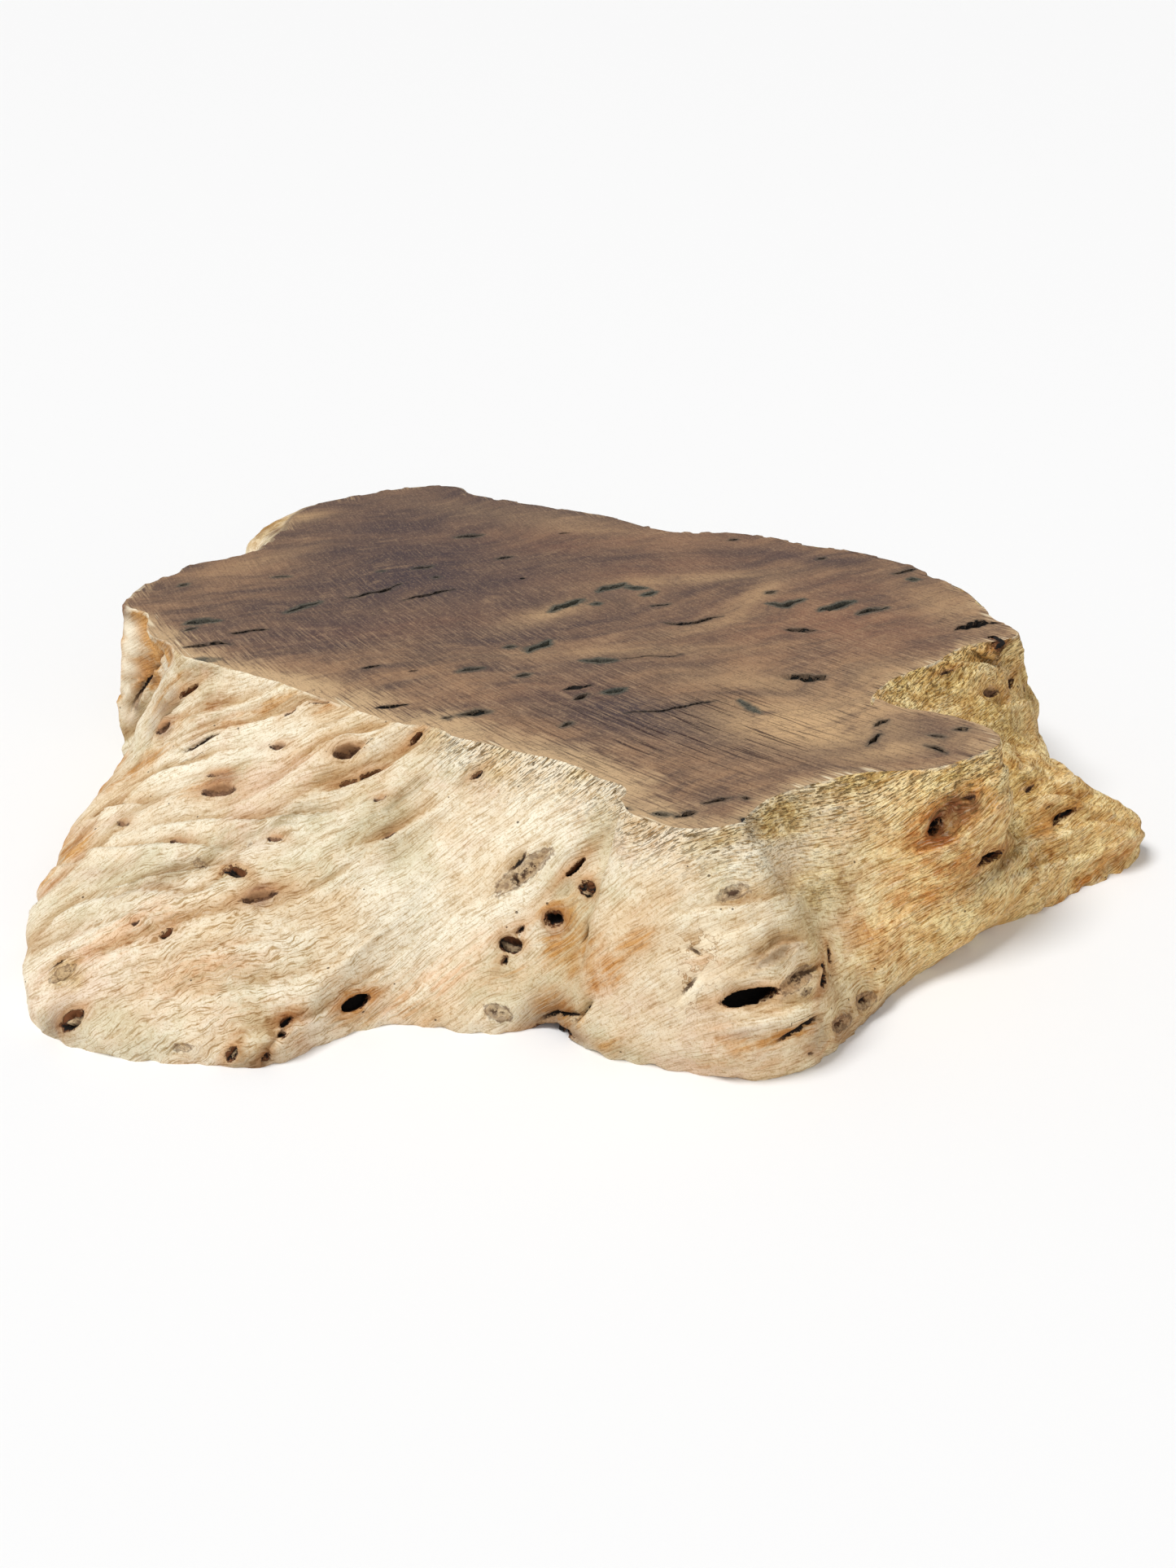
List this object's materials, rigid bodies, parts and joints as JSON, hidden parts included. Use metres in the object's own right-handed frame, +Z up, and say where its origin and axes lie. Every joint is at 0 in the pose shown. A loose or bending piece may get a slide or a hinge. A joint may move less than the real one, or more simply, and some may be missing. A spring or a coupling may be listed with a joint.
{
  "type": "burl slice",
  "caption": "Thick slab of root burl, sawn flat above and below, with a dark sawn face and a pale weathered natural flank that flares to the base.",
  "frame": {"origin": "middle of the overall box at the lower sawn face, which rests on the ground plane", "axes": "+X along the long side, +Y away from the broad flared front, +Z up through the thickness"},
  "size_m": [0.4124, 0.3924, 0.075],
  "materials": {
    "burl_wood": "weathered natural flank, rough-sawn faces"
  },
  "bodies": {
    "root": {"burl_slice": "burl_wood"}
  },
  "joints": []
}
